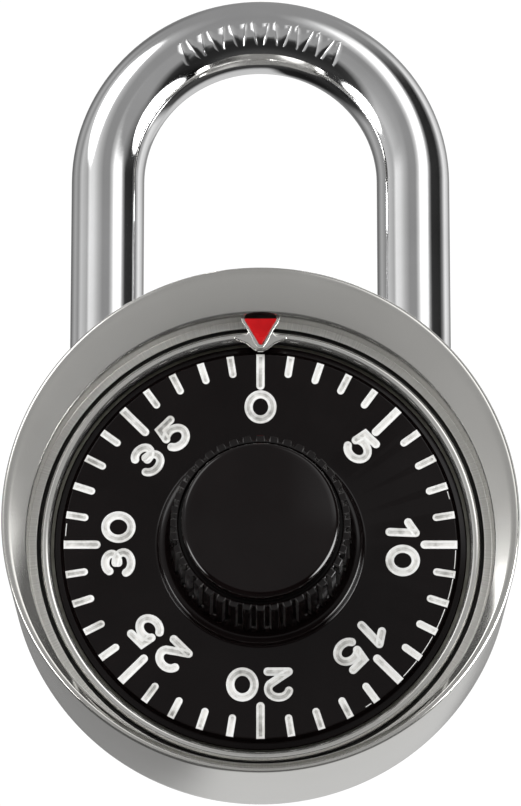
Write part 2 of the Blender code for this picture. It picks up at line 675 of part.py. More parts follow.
def latch_pin():
    """Headed pin that carries the latch bolt on the lever."""
    seat_y = LATCH_Y[0] - GAP
    head_r, head_y = 1.9, seat_y - 0.6
    end_y = LEVER_Y[1] - PIN_PROUD
    profile = [(0, head_y), (head_r, head_y), (head_r, seat_y), (LATCH_PIN_R, seat_y),
               (LATCH_PIN_R, end_y), (0, end_y)]
    return turned("latch_pin", profile, BRIGHT_STEEL, LATCH_PIVOT, SMALL_ROUND)


def latch_bolt():
    """Bolt whose nose stands in the toe's notch."""
    pivot_x = LATCH_PIVOT[0]
    low_z, high_z = NOSE_Z
    boss = arc(LATCH_PIVOT, LATCH_BOSS_R, -60, 180, 16)
    arm = [(pivot_x - 2.35, high_z + 1.0), (pivot_x - 3.0, high_z + 0.1)]
    nose = [(NOSE_X + 0.3, high_z), (NOSE_X, high_z - 0.3), (NOSE_X, low_z), (pivot_x - 1.2, low_z)]
    return plate("latch_bolt", [boss + arm + nose, circle(LATCH_PIVOT, LATCH_PIN_R + GAP)],
                 LATCH_Y, BRIGHT_STEEL)


def hairpin_spring(name, centre, coil_r, wire_r, places, legs, turns):
    """Wire spring coiled round a pin, with two straight legs given as (angle, length)."""
    first, last = legs
    sweep = last[0] - first[0] + 360 * turns
    facet = 20
    steps = int(sweep / facet)
    low, high = places
    path = []
    for i in range(steps + 1):
        a = radians(first[0] + sweep * i / steps)
        y = low + (high - low) * i / steps
        path.append((centre[0] + coil_r * cos(a), y, centre[1] + coil_r * sin(a)))
    tips = []
    for (x, y, z), (angle, length), way in ((path[0], first, -1), (path[-1], last, 1)):
        a = radians(angle)
        tips.append((x - way * length * sin(a), y, z + way * length * cos(a)))
    return wire(name, [tips[0], *path, tips[1]], wire_r, SPRING_STEEL)


def springs():
    hairpin_spring("lever_spring", LEVER_PIVOT, coil_r=1.9, wire_r=0.25, places=(-7.2, -5.7),
                   legs=((180.0, 3.5), (355.0, 7.5)), turns=1)
    hairpin_spring("latch_spring", LATCH_PIVOT, coil_r=1.6, wire_r=0.2, places=(-6.5, -5.5),
                   legs=((330.0, 2.2), (170.0, 3.0)), turns=1)


# ---- assembly -----------------------------------------------------------------------------
case_shell()
index_mark()
back_cover()
inner_case()
mechanism_plate()
plate_pillars()
shackle_guide("toe_guide", -1, TOE_GUIDE_Z)
shackle_guide("heel_guide", 1, HEEL_GUIDE_Z)
dial()
knob_cap()
dial_spindle()
spindle_bushing()
dial_spring()
spindle_retaining_ring()
wheel_pack()
wheel_post()
shackle()
heel_retaining_ring()
locking_lever()
lever_pivot_pin()
latch_pin()
latch_bolt()
springs()
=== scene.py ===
"""Looks for the combination padlock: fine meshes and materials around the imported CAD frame.

Lengths are in millimetres in this script and are scaled by MM where a mesh is made.  The row
frame has +Z towards the shackle, the dial facing -Y and the origin on the dial's axis at the
flat back, so a place on a turned piece is given as (radius, y).
"""
import json
from math import atan2, cos, degrees, dist, hypot, pi, radians, sin, sqrt

import bmesh
import bpy
from mathutils import Matrix, Vector


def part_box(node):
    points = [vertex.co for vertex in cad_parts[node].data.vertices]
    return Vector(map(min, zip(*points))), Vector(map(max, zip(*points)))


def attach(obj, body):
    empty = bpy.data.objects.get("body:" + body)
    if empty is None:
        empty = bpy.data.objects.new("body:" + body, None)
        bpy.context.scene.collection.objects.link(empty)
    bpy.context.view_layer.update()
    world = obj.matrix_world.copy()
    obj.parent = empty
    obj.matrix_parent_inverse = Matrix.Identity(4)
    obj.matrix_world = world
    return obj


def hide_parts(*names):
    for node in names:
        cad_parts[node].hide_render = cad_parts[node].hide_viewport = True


MM = 0.001
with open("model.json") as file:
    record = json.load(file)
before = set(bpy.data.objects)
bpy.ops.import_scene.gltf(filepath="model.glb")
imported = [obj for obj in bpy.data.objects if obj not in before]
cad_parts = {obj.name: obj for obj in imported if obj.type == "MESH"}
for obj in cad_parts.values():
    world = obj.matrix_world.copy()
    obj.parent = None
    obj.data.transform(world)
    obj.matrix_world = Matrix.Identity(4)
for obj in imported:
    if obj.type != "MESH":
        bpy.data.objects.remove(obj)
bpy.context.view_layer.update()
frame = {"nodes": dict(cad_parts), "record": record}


def limits(node):
    """Lowest and highest corner of a CAD node in millimetres."""
    return [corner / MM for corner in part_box(node)]


# ---- sizes read from the frame ------------------------------------------------------------
SHELL_LOW, SHELL_HIGH = limits("case_shell")
DIAL_HIGH = limits("dial")[1]
CAP_LOW, CAP_HIGH = limits("knob_cap")
COVER_HIGH = limits("back_cover")[1]
MARK_LOW, MARK_HIGH = limits("index_mark")
ROD_LOW, ROD_HIGH = limits("shackle")
RING_LOW, RING_HIGH = limits("heel_retaining_ring")
LATCH_LOW = limits("latch_bolt")[0]

CASE_R = (SHELL_HIGH.x - SHELL_LOW.x) / 2
CASE_Z = (SHELL_HIGH.z + SHELL_LOW.z) / 2
RIM_Y = SHELL_LOW.y
BACK_Y = SHELL_HIGH.y
DIAL_R = DIAL_HIGH.x
DIAL_BACK_Y = DIAL_HIGH.y
CAP_R = CAP_HIGH.x
FLANGE_R = COVER_HIGH.x

ROD_R = 3.5               # half the rod's thickness
LEG_X = ROD_HIGH.x - ROD_R
LEG_Y = (ROD_LOW.y + ROD_HIGH.y) / 2
CROWN_Z = ROD_HIGH.z - ROD_R
BOW_Z = CROWN_Z - LEG_X   # centre of the bow
HEEL_END_Z = ROD_LOW.z
RING_Z = (RING_LOW.z + RING_HIGH.z) / 2

# ---- sizes that repeat the CAD's ----------------------------------------------------------
GAP = 0.3                 # clearance between neighbours
SHEET = 1.0               # sheet thickness of case and cover
ROLL = 0.9                # thickness of the rolled rear edge
MOUTH_R = 19.6            # opening inside that edge
COVER_R = 19.2            # raised face of the rear cover
BAND_R = 21.5             # inner edge of the sloping front band
LIP_R = 19.5              # opening that the dial turns in
LIP_Y = RIM_Y + 2.2       # crest of the lip around it
UNDER_Y = RIM_Y + 3.8     # underside of the front ring
HOLLOW_Y = RIM_Y + 1.2    # how far the shell is hollow behind the band
FACE_Y = RIM_Y + 2.7      # marked face of the dial
KNOB_BASE_R = 9.5         # ring at the knob's foot
SEAT_R, SEAT_Y = 7.5, -26.2       # seat of the cap in the knob
WELL_R, WELL_Y = 3.7, -25.0       # well for the spindle's head
BORE_R, BORE_END_Y = 2.3, -19.0   # bore for the spindle
HUB_R = 4.0               # hub round that bore
KNOB_HOLLOW_R, KNOB_HOLLOW_Y = 6.5, -24.6     # hollow behind the knob
TOE_END_Z = 6.5
NOSE_HEIGHT = 1.4         # height of the latch's nose
GROOVE_R, GROOVE_HALF = 2.6, 0.55     # the ring's groove on the heel leg

# ---- sizes of the fine detail -------------------------------------------------------------
BAND_Y = RIM_Y + 0.70     # inner edge of the band
FLOOR_Y = RIM_Y + 2.7     # satin ring beside the lip
CREVICE_R, CREVICE_WIDTH = 20.48, 0.22        # crevice between that ring and the lip
CREVICE_Y = FLOOR_Y + 0.45
POCKET_HALF = 1.62        # arched pocket above the pointer
FACE_R = 18.25            # raised, marked face of the dial
GRIP_R = 8.35             # over the ribs
GRIP_TOP_Y = -26.85
RIB_FLOOR_R = 7.72
RIB_DEPTH = 0.42
RIBS = 40
GROOVE_PHASES = (0.30, 0.46)      # groove's floor and edge, as shares of half a pitch
WORN_AND_HIGHLIT_PHASES = (0.33, 0.51)        # lighter edge of a rib: wear and painted highlight
DIVISIONS = 40
TICK_LENGTH, MAJOR_LENGTH = 2.05, 3.4
TICK = 0.68               # width of the ticks
STROKE = 0.77             # width of the numbers' strokes and of every fifth tick
DIGIT_R = 13.2            # middle of the numbers
DIGIT_H = 2.42            # height between stroke centres
ADVANCE, ADVANCE_WITH_1 = 3.35, 3.0   # from one digit to the next
ENGRAVED = 0.22           # depth of the engraving
# Section of the paint in a stroke: (share of the half width, height above its bottom).
PAINT_SECTION = ((0.06, 0.125), (0.24, 0.130), (0.40, 0.155), (0.60, 0.205), (0.84, 0.235),
                 (1.0, 0.238), (1.0, 0.0))
THIN_HEIGHT = 0.15        # below this height the paint is thin
# White traces on the face's edge: (tick before it, (start, end) as shares of the gap).
EDGE_TRACES = ((8, (0.2, 0.45)), (10, (0.2, 0.8)), (11, (0.15, 0.85)), (12, (0.2, 0.9)),
               (13, (0.2, 0.85)), (14, (0.15, 0.8)), (16, (0.2, 0.4)), (30, (0.3, 0.7)))
STAMPS = 16               # strokes stamped along the bow
STAMP_STEP = 4.2          # degrees from one to the next
STAMP_TILT = 12           # degrees that they face downwards
STAMP_REACH = 18          # degrees round the rod from a stroke's middle to its end
STAMP_LEAN = 0.8          # degrees along the bow that its end leans
STAMP_HALF, STAMP_DEPTH = 0.22, 0.11

SHELL_FACETS = 288
DIAL_FACETS = 240
TURNED_FACETS = 192
CAP_FACETS = 160
GRIP_FACETS = RIBS * 12
HOLE_FACETS = 96
ROD_FACETS = 64

CAMERA_AHEAD = 435.0      # in front of the rim
CAMERA_BELOW = 100.1      # below the case's centre
CAMERA_PITCH = 14.3       # degrees upward
LENS, SENSOR = 215.7, 36.0
FLOOR_Z = -140.0          # height of the studio's floor


# ---- mesh helpers -------------------------------------------------------------------------
def new_mesh_object(name, work):
    """An object from a bmesh, which it frees."""
    mesh = bpy.data.meshes.new(name)
    bmesh.ops.recalc_face_normals(work, faces=work.faces)
    work.to_mesh(mesh)
    work.free()
    obj = bpy.data.objects.new(name, mesh)
    bpy.context.scene.collection.objects.link(obj)
    return obj


def smooth(obj, angle=32.0):
    """Smooth shading up to an angle; faces square to the dial's axis stay flat."""
    square = 0.9999
    obj.data.shade_smooth()
    for face in obj.data.polygons:
        face.use_smooth = abs(face.normal.y) < square
    obj.data.set_sharp_from_angle(angle=radians(angle))
    return obj


def filleted(corners, steps=4):
    """A closed profile whose corners are rounded: each corner is (*place, fillet size)."""
    points = []
    longest = 0.45        # share of a side that one fillet may take
    for i, (*here, size) in enumerate(corners):
        if size <= 0:
            points.append(tuple(here))
            continue
        before = corners[i - 1][:-1]
        after = corners[(i + 1) % len(corners)][:-1]
        ends = []
        for other in (before, after):
            share = min(size / dist(other, here), longest)
            ends.append([b + (a - b) * share for a, b in zip(other, here)])
        for k in range(steps + 1):
            t = k / steps
            points.append(tuple((1 - t) ** 2 * a + 2 * t * (1 - t) * b + t * t * c
                                for a, b, c in zip(ends[0], here, ends[1])))
    return points


def bridge(work, low, high):
    """Faces between two rings of the same number of vertices."""
    for i in range(len(low)):
        j = (i + 1) % len(low)
        work.faces.new((low[i], low[j], high[j], high[i]))


def lofted(name, sections, facets=SHELL_FACETS, radius_at=None):
    """A closed skin through circles (centre_z, radius, y); radius_at may reshape each circle."""
    work = bmesh.new()
    loops = []
    for centre_z, radius, y in sections:
        loop = []
        for i in range(facets):
            a = 2 * pi * i / facets
            r = radius_at(radius, y, a) if radius_at else radius
            loop.append(work.verts.new((r * sin(a) * MM, y * MM, (centre_z + r * cos(a)) * MM)))
        loops.append(loop)
    for low, high in zip(loops, loops[1:] + loops[:1]):
        bridge(work, low, high)
    return smooth(new_mesh_object(name, work))


def turned(name, profile, facets=TURNED_FACETS, centre_z=0.0):
    """A solid turned about the Y axis from a profile of (radius, y) that ends on the axis."""
    work = bmesh.new()
    points = [work.verts.new((r * MM, y * MM, 0)) for r, y in profile]
    edges = [work.edges.new(pair) for pair in zip(points, points[1:])]
    bmesh.ops.spin(work, geom=points + edges, cent=(0, 0, 0), axis=(0, 1, 0), dvec=(0, 0, 0),
                   angle=2 * pi, steps=facets, use_merge=True)
    bmesh.ops.remove_doubles(work, verts=work.verts, dist=0.0000005)
    bmesh.ops.translate(work, verts=work.verts, vec=(0, 0, centre_z * MM))
    return smooth(new_mesh_object(name, work))


def apply_boolean(obj, tool, overlaps=False):
    """Cuts tool out of obj for good, and removes tool; overlaps if tool cuts itself."""
    modifier = obj.modifiers.new("boolean", "BOOLEAN")
    modifier.operation = "DIFFERENCE"
    modifier.object = tool
    modifier.solver = "EXACT"
    modifier.use_self = overlaps
    modifier.material_mode = "TRANSFER"
    bpy.context.view_layer.update()
    evaluated = obj.evaluated_get(bpy.context.evaluated_depsgraph_get())
    result = bpy.data.meshes.new_from_object(evaluated)
    obj.modifiers.clear()
    obj.data = result
    bpy.data.objects.remove(tool, do_unlink=True)


def prism(name, outline, y_front, y_back, bevel=0.0, bevel_steps=3):
    """A flat piece in the XZ plane from its outline, with bevelled edges."""
    work = bmesh.new()
    verts = [work.verts.new((x * MM, y_back * MM, z * MM)) for x, z in outline]
    face = work.faces.new(verts)
    top = bmesh.ops.extrude_face_region(work, geom=[face])
    raised = [item for item in top["geom"] if isinstance(item, bmesh.types.BMVert)]
    bmesh.ops.translate(work, verts=raised, vec=(0, (y_front - y_back) * MM, 0))
    obj = new_mesh_object(name, work)
    if bevel:
        edge = obj.modifiers.new("bevel", "BEVEL")
        edge.width = bevel * MM
        edge.segments = bevel_steps
        edge.limit_method = "ANGLE"
    return obj


def arc(centre, radius, start, end, steps):
    """Points of an arc, from start to end in degrees."""
    angles = [radians(start + (end - start) * i / steps) for i in range(steps + 1)]
    return [(centre[0] + radius * cos(a), centre[1] + radius * sin(a)) for a in angles]


def oval(centre, wide, high, start, end, steps):
    """Points of an arc of an oval with the given half width and half height."""
    return [(centre[0] + wide * x, centre[1] + high * z)
            for x, z in arc((0.0, 0.0), 1.0, start, end, steps)]


def mirrored(points):
    """An outline given from the top left down to the middle, completed on the right."""
    return points + [(-x, z) for x, z in reversed(points) if x != 0]


# ---- node helpers -------------------------------------------------------------------------
def add_node(tree, kind, **inputs):
    """Adds a node; keyword names with spaces as underscores set its inputs or its settings."""
    node = tree.nodes.new(kind)
    for key, value in inputs.items():
        socket = node.inputs.get(key.replace("_", " "))
        if socket is not None:
            socket.default_value = value
        else:
            setattr(node, key, value)
    return node


def ramp_node(tree, source, stops):
    """A colour ramp of grey levels: stops are (position, level)."""
    ramp = add_node(tree, "ShaderNodeValToRGB")
    elements = ramp.color_ramp.elements
    elements.remove(elements[-1])
    elements[0].position = stops[0][0]
    for position, level in stops[1:]:
        elements.new(position)
    for element, (position, level) in zip(elements, stops):
        element.color = (level, level, level, 1)
    tree.links.new(source, ramp.inputs["Fac"])
    return ramp.outputs["Color"]


def math_node(tree, operation, first, second=None, third=None):
    """A math node fed by numbers or by other nodes' outputs."""
    node = add_node(tree, "ShaderNodeMath", operation=operation)
    for socket, value in zip(node.inputs, (first, second, third)):
        if value is None:
            continue
        if isinstance(value, (int, float)):
            socket.default_value = value
        else:
            tree.links.new(value, socket)
    return node.outputs[0]


def new_material(name, metallic, **constants):
    """A material with its shader's constant inputs set, its tree, shader and object coordinates."""
    mat = bpy.data.materials.new(name)
    mat.use_nodes = True
    tree = mat.node_tree
    shader = tree.nodes["Principled BSDF"]
    shader.inputs["Metallic"].default_value = metallic
    for key, value in constants.items():
        shader.inputs[key.replace("_", " ")].default_value = value
    coords = add_node(tree, "ShaderNodeTexCoord").outputs["Object"]
    return mat, tree, shader, coords


def noise(tree, coords, scale, detail=3.0, roughness=0.55, stretch=None):
    """Noise of a scale given in cells per metre, stretched by a factor on each axis."""
    source = coords
    if stretch:
        mapping = add_node(tree, "ShaderNodeMapping", Scale=stretch)
        tree.links.new(coords, mapping.inputs["Vector"])
        source = mapping.outputs["Vector"]
    texture = add_node(tree, "ShaderNodeTexNoise", Scale=scale, Detail=detail,
                       Roughness=roughness)
    tree.links.new(source, texture.inputs["Vector"])
    return texture.outputs["Fac"]


def vary(tree, socket, source, low, high, from_low=0.3, from_high=0.7):
    """Feeds a shader number that moves between low and high with source."""
    spread = add_node(tree, "ShaderNodeMapRange", From_Min=from_low, From_Max=from_high,
                      To_Min=low, To_Max=high)
    tree.links.new(source, spread.inputs["Value"])
    tree.links.new(spread.outputs["Result"], socket)


def tint(tree, socket, source, dark, light, from_low=0.3, from_high=0.7):
    """Feeds a shader colour that moves between dark and light with source."""
    spread = add_node(tree, "ShaderNodeMapRange", From_Min=from_low, From_Max=from_high)
    mix = add_node(tree, "ShaderNodeMix", data_type="RGBA")
    mix.inputs["A"].default_value = (*dark, 1)
    mix.inputs["B"].default_value = (*light, 1)
    tree.links.new(source, spread.inputs["Value"])
    tree.links.new(spread.outputs["Result"], mix.inputs["Factor"])
    tree.links.new(mix.outputs["Result"], socket)


def bump(tree, shader, source, depth):
    """Adds a bump of a depth in millimetres to whatever bump the shader already has."""
    node = add_node(tree, "ShaderNodeBump", Strength=1.0, Distance=depth * MM)
    tree.links.new(source, node.inputs["Height"])
    normal = shader.inputs["Normal"]
    if normal.is_linked:
        tree.links.new(normal.links[0].from_socket, node.inputs["Normal"])
    tree.links.new(node.outputs["Normal"], normal)


# ---- materials ----------------------------------------------------------------------------
def satin_shell():
    """Stainless case: even satin polish, faint handling marks and hairline scratches."""
    mat, tree, shader, coords = new_material("satin_stainless", 0.90)
    clouds = noise(tree, coords, 90, 4)
    tint(tree, shader.inputs["Base Color"], clouds, (0.68, 0.67, 0.64), (0.73, 0.72, 0.69))
    vary(tree, shader.inputs["Roughness"], clouds, 0.15, 0.21)
    hairlines = noise(tree, coords, 900, 2, 0.5, (1.0, 1.0, 6.0))
    bump(tree, shader, hairlines, 0.0012)
    bump(tree, shader, noise(tree, coords, 320, 2), 0.0025)
    return mat


def brushed_ring():
    """Ring beside the dial: fine radial brushing."""
    mat, tree, shader, coords = new_material("brushed_ring", 0.82)
    split = add_node(tree, "ShaderNodeSeparateXYZ")
    tree.links.new(coords, split.inputs["Vector"])
    angle = math_node(tree, "ARCTAN2", split.outputs["X"], split.outputs["Z"])
    around = add_node(tree, "ShaderNodeCombineXYZ")
    tree.links.new(angle, around.inputs["X"])
    streaks = noise(tree, around.outputs["Vector"], 160, 3)
    tint(tree, shader.inputs["Base Color"], streaks, (0.60, 0.59, 0.56), (0.82, 0.81, 0.78))
    vary(tree, shader.inputs["Roughness"], streaks, 0.36, 0.50)
    bump(tree, shader, streaks, 0.005)
    return mat


def polished_lip():
    """Burnished edge around the dial opening and the pointer's pocket."""
    mat, tree, shader, coords = new_material("polished_lip", 0.90)
    clouds = noise(tree, coords, 260, 4)
    tint(tree, shader.inputs["Base Color"], clouds, (0.78, 0.77, 0.74), (0.86, 0.85, 0.82))
    vary(tree, shader.inputs["Roughness"], clouds, 0.06, 0.12)
    bump(tree, shader, noise(tree, coords, 500, 2), 0.004)
    return mat


def chrome():
    """Bright plated rod: mirror finish with pinholes and faint drawn lines along the legs."""
    mat, tree, shader, coords = new_material("bright_chrome", 1.0)
    clouds = noise(tree, coords, 120, 4)
    tint(tree, shader.inputs["Base Color"], clouds, (0.80, 0.80, 0.80), (0.87, 0.87, 0.875))
    vary(tree, shader.inputs["Roughness"], clouds, 0.045, 0.10)
    pits = noise(tree, coords, 1500, 2, 0.6)
    bump(tree, shader, pits, 0.0016)
    drawn = noise(tree, coords, 260, 2, 0.5, (1.0, 1.0, 0.08))
    bump(tree, shader, drawn, 0.008)
    return mat


def black_moulding(name, rough_low, rough_high, gloss):
    """Glossy black dial: deep gloss with fine orange peel and a trace of dust."""
    mat, tree, shader, coords = new_material(name, 0.0, Specular_IOR_Level=gloss)
    clouds = noise(tree, coords, 150, 5)
    tint(tree, shader.inputs["Base Color"], clouds, (0.0026, 0.0013, 0.0013),
         (0.0046, 0.0028, 0.0028))
    vary(tree, shader.inputs["Roughness"], clouds, rough_low, rough_high)
    bump(tree, shader, noise(tree, coords, 700, 2), 0.0012)
    return mat


def worn_moulding():
    """Rib edges of the grip: scuffed black, greyer and duller in patches; the grey is partly wear
    and partly a painted highlight that outlines the ribs.
    """
    mat, tree, shader, coords = new_material("worn_and_highlit_grip_moulding", 0.0)
    scuffs_and_sheen = noise(tree, coords, 900, 3, 0.7)
    tint(tree, shader.inputs["Base Color"], scuffs_and_sheen, (0.006, 0.005, 0.005), (0.085, 0.080, 0.078),
         0.42, 0.66)
    vary(tree, shader.inputs["Roughness"], scuffs_and_sheen, 0.20, 0.45)
    bump(tree, shader, scuffs_and_sheen, 0.01)
    return mat


def engraving_paint(name, thin, thick, low, high):
    """Engraving paint: off-white, greyer where it is thin, matt."""
    mat, tree, shader, coords = new_material(name, 0.0)
    patches = noise(tree, coords, 420, 4, 0.65)
    tint(tree, shader.inputs["Base Color"], patches, thin, thick, low, high)
    vary(tree, shader.inputs["Roughness"], patches, 0.62, 0.42)
    bump(tree, shader, noise(tree, coords, 1600, 3), 0.02)
    return mat


def red_enamel():
    """Pointer: glossy red enamel, a little deeper where it is thick."""
    mat, tree, shader, coords = new_material("red_enamel", 0.0, Specular_IOR_Level=0.22)
    clouds = noise(tree, coords, 380, 3)
    tint(tree, shader.inputs["Base Color"], clouds, (0.40, 0.001, 0.003), (0.60, 0.002, 0.004))
    vary(tree, shader.inputs["Roughness"], clouds, 0.22, 0.34)
    bump(tree, shader, noise(tree, coords, 900, 2), 0.006)
    return mat


def worked_metal(name, dark, light, rough_low, rough_high, grain, depth, stretch=None):
    """Inner metal parts: two-tone metal with a grain, stretched where the piece is turned."""
    mat, tree, shader, coords = new_material(name, 1.0)
    clouds = noise(tree, coords, 220, 4, 0.6)
    lines = noise(tree, coords, grain, 3, 0.6, stretch)
    tint(tree, shader.inputs["Base Color"], clouds, dark, light)
    vary(tree, shader.inputs["Roughness"], lines, rough_low, rough_high)
    bump(tree, shader, lines, depth)
    return mat


def recess_metal():
    """Painted shade: dark metal in the crevice, the pocket and behind the lip, where shade falls.
    """
    mat, tree, shader, coords = new_material("painted_shade_dark_metal", 0.6)
    clouds = noise(tree, coords, 600, 4)
    tint(tree, shader.inputs["Base Color"], clouds, (0.012, 0.011, 0.010), (0.05, 0.048, 0.045))
    vary(tree, shader.inputs["Roughness"], clouds, 0.45, 0.70)
    return mat


def floor_paper():
    """Pale paper floor with a soft fibre grain."""
    mat, tree, shader, coords = new_material("floor_paper", 0.0)
    fibres = noise(tree, coords, 60, 5)
    tint(tree, shader.inputs["Base Color"], fibres, (0.80, 0.80, 0.80), (0.84, 0.84, 0.84))
    vary(tree, shader.inputs["Roughness"], fibres, 0.85, 0.95)
    return mat


SHELL_METAL = satin_shell()
RING_METAL = brushed_ring()
LIP_METAL = polished_lip()
CHROME = chrome()
BLACK = black_moulding("black_dial_moulding", 0.10, 0.17, 0.27)
BLACK_GRIP = black_moulding("black_grip_moulding", 0.09, 0.15, 0.50)
# Lighter rib walls: partly wear, partly a painted highlight.
WORN_AND_HIGHLIT_GRIP = worn_moulding()
BLACK_CAP = black_moulding("black_cap_moulding", 0.05, 0.09, 0.34)
PAINT = engraving_paint("engraving_paint", (0.66, 0.65, 0.62), (0.90, 0.90, 0.88), 0.34, 0.50)
THIN_PAINT = engraving_paint("thin_engraving_paint", (0.24, 0.235, 0.22), (0.80, 0.79, 0.76),
                             0.32, 0.56)
RED = red_enamel()
# Dark metal that paints the shade in the crevice, the pointer's pocket and behind the lip.
PAINTED_SHADE = recess_metal()
INNER_METALS = {
    "plated_steel": worked_metal("zinc_plated_steel", (0.46, 0.45, 0.38), (0.58, 0.57, 0.50),
                                 0.30, 0.48, 1400, 0.004),
    "bright_steel": worked_metal("turned_bright_steel", (0.56, 0.56, 0.55), (0.66, 0.66, 0.65),
                                 0.18, 0.34, 2600, 0.003, (0.3, 6.0, 0.3)),
    "brass": worked_metal("stamped_brass", (0.66, 0.45, 0.17), (0.78, 0.57, 0.26),
                          0.24, 0.40, 1200, 0.004),
    "spring_steel": worked_metal("oiled_spring_steel", (0.20, 0.20, 0.21), (0.34, 0.34, 0.36),
                                 0.22, 0.36, 1800, 0.002),
}


def finish(piece, material, body, slot, *nodes):
    """Gives a piece its body, hides the CAD nodes that it replaces, and gives it its material if it
    has none; slot is not used.
    """
    if not any(piece.data.materials):
        piece.data.materials.clear()
        piece.data.materials.append(material)
    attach(piece, body)
    if nodes:
        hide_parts(*nodes)


# ---- case ---------------------------------------------------------------------------------
def shell_profile():
    """Rounded section of the drawn shell, from the rear edge round: (centre_z, radius, y)."""
    inner_r = CASE_R - SHEET
    roll_y = BACK_Y - ROLL
    rear = [(CASE_Z, MOUTH_R, roll_y, 0.15), (CASE_Z, MOUTH_R, BACK_Y, 0.2),
            (CASE_Z, CASE_R - 0.1, BACK_Y - 0.1, 3.1)]
    band = [(CASE_Z, CASE_R, RIM_Y, 0.6), (CASE_Z - 0.30, CASE_R - 0.75, RIM_Y + 0.01, 0.3),
            (0.05, BAND_R + 0.16, BAND_Y, 0.18)]
    ring_inner_r = CREVICE_R + CREVICE_WIDTH
    ring = [(0.0, BAND_R, FLOOR_Y, 0.12), (0.0, ring_inner_r + 0.08, FLOOR_Y - 0.15, 0.1),
            (0.0, ring_inner_r, CREVICE_Y, 0.05), (0.0, CREVICE_R, CREVICE_Y, 0.05)]
    lip = [(0.0, LIP_R + 0.94, LIP_Y + 0.42, 0.3), (0.0, LIP_R + 0.80, LIP_Y + 0.08, 0.2),
           (0.0, LIP_R + 0.45, LIP_Y, 0.3), (0.0, LIP_R + 0.12, LIP_Y + 0.12, 0.25),
           (0.0, LIP_R, LIP_Y + 0.5, 0.25), (0.0, LIP_R, UNDER_Y, 0.2)]
    band_back = (1.45, 22.3)
    inside = [(0.2, 20.6, UNDER_Y, 0.2), (*band_back, UNDER_Y - 0.2, 0.3),
              (*band_back, HOLLOW_Y, 0.2), (CASE_Z, inner_r, HOLLOW_Y, 0.2),
              (CASE_Z, inner_r, roll_y - 2.0, 0.0), (CASE_Z, inner_r - 0.7, roll_y - 0.7, 0.5),
              (CASE_Z, inner_r - 2.0, roll_y, 0.3)]
    return filleted(rear + band + ring + lip + inside, 5)


def finish_zone(centre, normal):
    """Index of the finish of a shell face: 0 case, 1 ring beside the dial, 2 lip, 3 dark painted
    shade.
    """
    radius = hypot(centre.x, centre.z) / MM
    y = centre.y / MM
    # The lip's inner wall, down towards the dial: painted shade.
    if radius < LIP_R + 0.1 and LIP_Y + 0.55 < y < UNDER_Y:
        return 3
    if y > UNDER_Y - 0.3 or radius > BAND_R + 0.02 or normal.y > 0.2:
        return 0
    if radius > CREVICE_R + CREVICE_WIDTH + 0.04:
        return 1 if y > BAND_Y + 0.5 else 0
    # Faces in the crevice are painted shade; the rest is the lip.
    return 3 if y > FLOOR_Y - 0.05 and radius > CREVICE_R - 0.08 else 2


def leg_hole_tool(side):
    """A closed upright cylinder that cuts the hole for one of the shackle's legs."""
    radius = (ROD_R + GAP) * MM
    low_z, high_z = 8.0, 30.0
    middle = Vector((side * LEG_X, LEG_Y, (low_z + high_z) / 2)) * MM
    work = bmesh.new()
    bmesh.ops.create_cone(work, cap_ends=True, segments=HOLE_FACETS, radius1=radius, radius2=radius,
                          depth=(high_z - low_z) * MM, matrix=Matrix.Translation(middle))
    return new_mesh_object("leg_hole_tool", work)


def case_shell():
    """Drawn shell with the leg holes and the pointer's pocket, finished in four zones, the fourth a
    dark painted shade in its recesses.
    """
    shell = lofted("case_shell_skin", shell_profile())
    for metal in (SHELL_METAL, RING_METAL, LIP_METAL, PAINTED_SHADE):
        shell.data.materials.append(metal)
    for face in shell.data.polygons:
        face.material_index = finish_zone(face.center, face.normal)
    for side in (-1, 1):
        apply_boolean(shell, leg_hole_tool(side))
    pocket = prism("pocket_tool", pocket_outline(), RIM_Y - 1, LIP_Y - 0.2)
    # The pocket's cut faces take the dark metal: painted shade.
    pocket.data.materials.append(PAINTED_SHADE)
    apply_boolean(shell, pocket)
    smooth(shell)
    finish(shell, SHELL_METAL, "case", "shell_stainless", "case_shell")


def pocket_outline():
    """Arched notch in the band above the pointer."""
    foot_half, foot_z = POCKET_HALF - 0.02, 20.7
    arch = oval((0.0, MARK_HIGH.z + 0.1), POCKET_HALF, 0.46, 0, 180, 14)
    return arch + [(-foot_half, foot_z), (foot_half, foot_z)]


def pointer():
    """Red enamel triangle between bright cheeks, on a tongue that grows out of the lip."""
    half = MARK_HIGH.x
    tip_z, top_z = MARK_LOW.z, MARK_HIGH.z
    front_y = MARK_LOW.y
    tongue_outline = mirrored([(-1.3, 20.9), (-1.2, 20.25), (-1.5, 19.92), (-2.45, 19.9),
                               (-2.55, 19.62), (-2.1, 19.42), (-1.35, 19.12), (-0.75, 18.62),
                               (-0.3, 18.36)])
    tongue = prism("pointer_tongue", tongue_outline, LIP_Y - 0.30, LIP_Y + 0.12, 0.2)
    outside = mirrored([(-half - 0.06, top_z + 0.02), (-half - 0.28, top_z + 0.10),
                        (-half - 0.28, top_z - 0.15), (-1.05, 20.0), (-0.62, 19.05),
                        (-0.25, 18.55)])
    inside = [(half, top_z + 0.05), (0.22, tip_z + 0.05), (0.0, tip_z + 0.02),
              (-half, top_z + 0.05)]
    cheeks = prism("pointer_cheeks", outside + inside, front_y + 0.22, LIP_Y - 0.2, 0.1)
    for piece in (tongue, cheeks):
        finish(smooth(piece), LIP_METAL, "case", "shell_stainless")
    triangle = mirrored([(-half + 0.04, top_z), (-half, top_z - 0.12), (-0.12, tip_z + 0.02)])
    enamel = prism("pointer_enamel", triangle, front_y + 0.02, LIP_Y - 0.25, 0.16, 5)
    finish(smooth(enamel, 50), RED, "case", "index_red", "index_mark")


